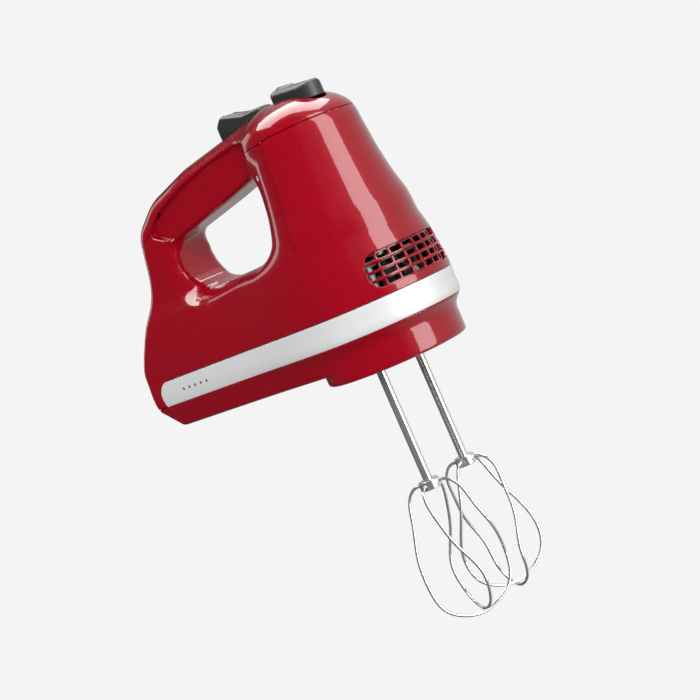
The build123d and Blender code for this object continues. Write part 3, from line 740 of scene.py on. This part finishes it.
# %% [markdown]
# ## Bright beater wire
# The beaters are polished stainless steel. Drawn wire keeps fine lines along its length,
# and the finish is never one even grey, so the roughness wanders a little.

# %% Polished steel
steel = Finish("polished_steel", (0.90, 0.895, 0.885), metallic=0.78, roughness=0.18)
drawn = steel.noise(4200, 2, (1.0, 1.0, 0.05))
steel.tint(steel.noise(120, 4).smooth(0.35, 0.75) * 0.5, (0.78, 0.78, 0.775))
steel.set("Roughness", 0.15 + drawn * 0.05)
steel.bump(drawn, 0.000004, 0.2)


# %% Metals inside: cast, plated, stacked and wound
def metal(name, colour, worn, roughness, scale, stretch=(1, 1, 1), depth=0.00003):
    """A metal with its own grain, a second tone in patches, and a roughness that follows the grain."""
    finish = Finish(name, colour, metallic=1.0, roughness=roughness)
    grains = finish.noise(scale, 4, stretch)
    finish.tint(finish.noise(140, 3).smooth(0.35, 0.7) * 0.7, worn)
    finish.set("Roughness", roughness - 0.06 + grains * 0.16)
    finish.bump(grains, depth, 0.5)
    return finish


zinc = metal("zinc_plate", (0.62, 0.62, 0.60), (0.50, 0.49, 0.45), 0.30, 1500)
cast = metal("die_cast", (0.42, 0.42, 0.43), (0.33, 0.33, 0.34), 0.52, 800, depth=0.00012)
lamination = metal("stacked_steel", (0.24, 0.24, 0.25), (0.17, 0.15, 0.14), 0.45, 2000,
                   (1.0, 0.02, 0.02), 0.0002)
copper = metal("enamelled_copper", (0.62, 0.24, 0.10), (0.50, 0.17, 0.07), 0.28, 1300,
               (0.05, 1.0, 1.0), 0.0002)
bars = metal("commutator_copper", (0.72, 0.36, 0.20), (0.36, 0.20, 0.13), 0.32, 1600,
             (0.04, 1, 1), 0.00008)
bronze = metal("sintered_bronze", (0.50, 0.32, 0.14), (0.38, 0.24, 0.12), 0.46, 2600, depth=0.00006)
brass = metal("brush_brass", (0.66, 0.49, 0.20), (0.52, 0.37, 0.15), 0.30, 1200)


# %% Plastics, carbon, rubber and the board
def plastic(name, colour, other, roughness, scale, depth=0.00004):
    """A moulded plastic with a fine spark-eroded texture and slight marbling."""
    finish = Finish(name, colour, roughness=roughness)
    finish.tint(finish.noise(180, 4).smooth(0.35, 0.75) * 0.8, other)
    finish.set("Roughness", roughness - 0.05 + finish.noise(600, 3) * 0.12)
    finish.bump(finish.cells(scale), depth, 0.6)
    return finish


nylon = plastic("natural_nylon", (0.66, 0.64, 0.55), (0.58, 0.55, 0.45), 0.40, 1400)
black = plastic("black_moulding", (0.022, 0.022, 0.023), (0.032, 0.032, 0.034), 0.50, 1600)
carbon = plastic("carbon", (0.018, 0.018, 0.019), (0.04, 0.04, 0.042), 0.58, 2600, 0.00008)
board = plastic("board_mask", (0.012, 0.16, 0.055), (0.02, 0.22, 0.07), 0.30, 700)
rubber = plastic("gland_rubber", (0.020, 0.020, 0.020), (0.035, 0.034, 0.033), 0.66, 1500, 0.0001)

FINISHES = {
    "red_gloss": red, "band_silver": satin, "control_grey": charcoal, "inset_grey": inset,
    "grille_black": black, "beater_steel": steel, "zinc_steel": zinc, "die_cast": cast,
    "lamination": lamination, "copper": copper, "comm_copper": bars, "bronze": bronze,
    "nylon": nylon, "carbon": carbon, "brush_brass": brass, "board_green": board,
    "gland_black": rubber,
}


# %% Put the finishes on
def paint(thing, slot):
    """Give a piece, or a node of the frame, the finish of its slot."""
    if thing.material_slots:
        for place in thing.material_slots:
            place.material = FINISHES[slot].material
    else:
        thing.data.materials.append(FINISHES[slot].material)


for part in frame["record"]["subparts"]:
    paint(frame["nodes"][part["node"]], part["material_slot"])
for new_piece in (housing_shell, cover_shell, base_shell, band_strip, vent_backing,
                  slide_cap, slide_dish, ejector_cap):
    paint(new_piece, new_piece["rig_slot"])
print(len(FINISHES), "finishes on", len(frame["nodes"]), "nodes")

# %% [markdown]
# ## Studio
# A white room: a very large pale floor far below, a bright world, a softbox overhead and a tall
# one in front, so that the gloss shows long soft reflections.

# %% Floor, lights and camera
def stage_plane(name, size, height):
    """A square in the studio, which isn't part of the mixer."""
    mesh = bpy.data.meshes.new(name)
    h = size / 2
    corners = [(-h, -h, height), (h, -h, height), (h, h, height), (-h, h, height)]
    mesh.from_pydata(corners, [], [(0, 1, 2, 3)])
    plane = bpy.data.objects.new(name, mesh)
    bpy.context.scene.collection.objects.link(plane)
    return plane


PALE = 0.905                   # linear brightness of the floor and the room seen behind
FLOOR_SIZE, FLOOR_HEIGHT = 40.0, -0.45
floor = stage_plane("floor", FLOOR_SIZE, FLOOR_HEIGHT)
paper = Finish("pale_floor", (0.0, 0.0, 0.0), roughness=1.0, Specular_IOR_Level=0.0,
               Emission_Color=(PALE, PALE, PALE, 1), Emission_Strength=1.0)
floor.data.materials.append(paper.material)
floor.visible_glossy = floor.visible_diffuse = False

CAMERA_AZ, CAMERA_EL, CAMERA_ROLL = 0.7483, 0.0656, 0.4128
CAMERA_FOCUS, FRAME_WIDE, CAMERA_FAR = 1600.0, 700, 811.0
CAMERA_RIGHT, CAMERA_UP = 20.86, 16.31
back = Vector((math.sin(CAMERA_AZ) * math.cos(CAMERA_EL), -math.cos(CAMERA_AZ) * math.cos(CAMERA_EL),
               math.sin(CAMERA_EL)))
right = Vector((math.cos(CAMERA_AZ), math.sin(CAMERA_AZ), 0))
up = back.cross(right)
camera_data = bpy.data.cameras.new("camera")
camera_data.sensor_width = 36.0
camera_data.lens = CAMERA_FOCUS / FRAME_WIDE * camera_data.sensor_width
camera = bpy.data.objects.new("camera", camera_data)
bpy.context.scene.collection.objects.link(camera)
bpy.context.scene.camera = camera
tilted_right = right * math.cos(CAMERA_ROLL) - up * math.sin(CAMERA_ROLL)
tilted_up = right * math.sin(CAMERA_ROLL) + up * math.cos(CAMERA_ROLL)
turn = Matrix((tilted_right, tilted_up, back)).transposed()
place = Vector((AXIS_X, 0, 0)) + back * CAMERA_FAR - right * CAMERA_RIGHT - up * CAMERA_UP
camera.matrix_world = Matrix.Translation(place * MM) @ turn.to_4x4()
camera_data.clip_start, camera_data.clip_end = 0.01, 100


def softbox(name, place, target, width, height, power):
    """A rectangular light that faces its target."""
    light = bpy.data.lights.new(name, "AREA")
    light.shape = "RECTANGLE"
    light.size, light.size_y, light.energy = width, height, power
    box = bpy.data.objects.new(name, light)
    bpy.context.scene.collection.objects.link(box)
    box.location = place
    box.rotation_euler = (Vector(target) - Vector(place)).to_track_quat("-Z", "Y").to_euler()
    return box


MIDDLE = (0.12, 0.0, 0.03)
FOR_GLOSS, FOR_SHAPE = "gloss", "shape"


def shine(name, place, width, height, power, use):
    """A softbox that only makes reflections, or one that only gives form."""
    box = softbox(name, place, MIDDLE, width, height, power)
    box.visible_diffuse, box.visible_glossy = use == FOR_SHAPE, use == FOR_GLOSS
    return box


shine("overhead_card", (0.0, 0.1, 0.85), 1.3, 0.7, 19.0, FOR_GLOSS)
shine("tall_front_card", (0.90, 0.02, 0.12), 0.42, 1.4, 10.0, FOR_GLOSS)
shine("rear_card", (-0.75, 0.05, 0.25), 0.25, 0.7, 0.6, FOR_GLOSS)
shine("key", (0.85, -0.55, 0.45), 0.5, 0.5, 5.2, FOR_SHAPE)

# %% [markdown]
# The room itself is bright behind the mixer and dark on the near side, as in a studio where
# black cloth hangs by the lens: gloss plastic then keeps its deep colour.

# %% Room
world = bpy.data.worlds.new("studio")
world.use_nodes = True
tree = world.node_tree
tree.nodes.clear()
ray = Value(tree, tree.nodes.new("ShaderNodeTexCoord").outputs["Generated"])
path = tree.nodes.new("ShaderNodeLightPath")
seen, diffuse = Value(tree, path.outputs["Is Camera Ray"]), Value(tree, path.outputs["Is Diffuse Ray"])
NEAR_SIDE = (-0.50, -0.866, 0.0)       # where the black cloth hangs
facing = ray.node("ShaderNodeVectorMath", {"operation": "DOT_PRODUCT"}, {0: ray, 1: NEAR_SIDE}, "Value")
glossy = 0.60 - facing.smooth(-0.55, 0.15) * 0.57
room = diffuse * 0.56 + (1 - diffuse) * glossy
room = seen * PALE + (1 - seen) * room
light_of_room = room.node("ShaderNodeBackground", {}, {"Color": (1, 1, 1, 1), "Strength": room})
tree.links.new(light_of_room.socket, tree.nodes.new("ShaderNodeOutputWorld").inputs["Surface"])
bpy.context.scene.world = world
bpy.context.scene.view_settings.view_transform = "Standard"
